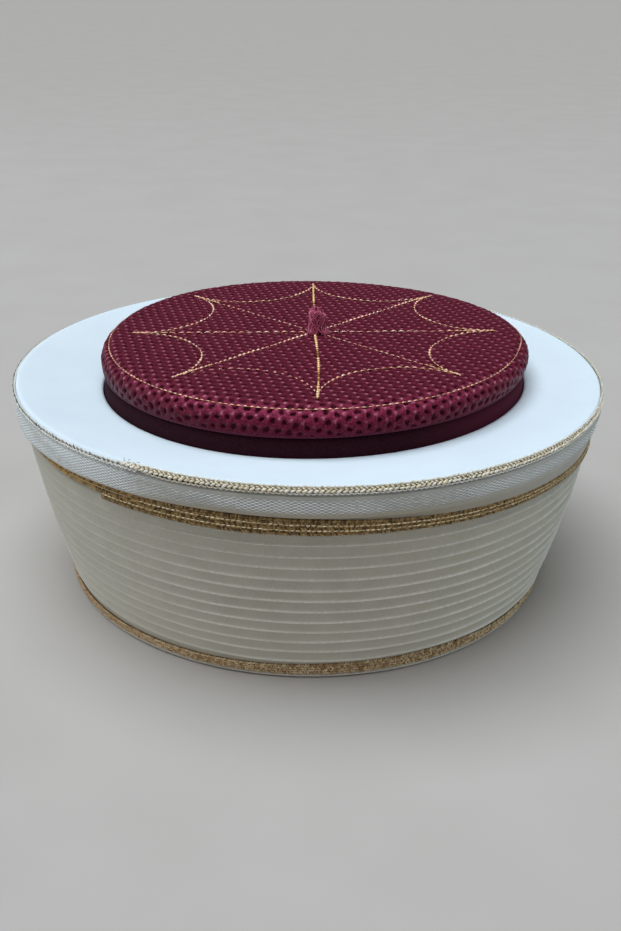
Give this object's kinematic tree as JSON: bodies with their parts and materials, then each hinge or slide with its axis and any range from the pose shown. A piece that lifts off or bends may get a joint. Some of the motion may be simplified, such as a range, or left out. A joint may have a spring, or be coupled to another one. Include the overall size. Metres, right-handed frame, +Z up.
{
  "type": "turban",
  "caption": "Stiff ready-made turban: low burgundy fez with a mesh crown, gold star stitching and a thread tuft, inside a flared white pleated wrap edged with gold braid.",
  "frame": {"origin": "centre of the lower hem, on the surface that the turban stands on", "axes": "+Z up through the crown, the front faces -Y"},
  "size_m": [0.2362, 0.2362, 0.1097],
  "materials": {
    "maroon_cloth": "plain dark maroon cloth",
    "burgundy_mesh": "burgundy honeycomb spacer mesh with a soft sheen",
    "burgundy_thread": "burgundy twisted thread",
    "white_cloth": "smooth fine white cloth",
    "white_birdseye": "white bird's-eye weave with a silvery sheen",
    "white_pleats": "matt white pleated cloth",
    "gold_thread": "gold and silver metallic thread",
    "brown_gold_braid": "gold-brown metallic braid"
  },
  "bodies": {
    "root": {"fez_wall": "maroon_cloth", "crown_cap": "burgundy_mesh", "crown_tuft": "burgundy_thread", "top_ring": "white_cloth", "top_braid": "gold_thread", "rim_band": "white_birdseye", "lower_braid": "brown_gold_braid", "pleated_wrap": "white_pleats", "bottom_braid": "brown_gold_braid", "bottom_hem": "white_pleats"}
  },
  "joints": []
}
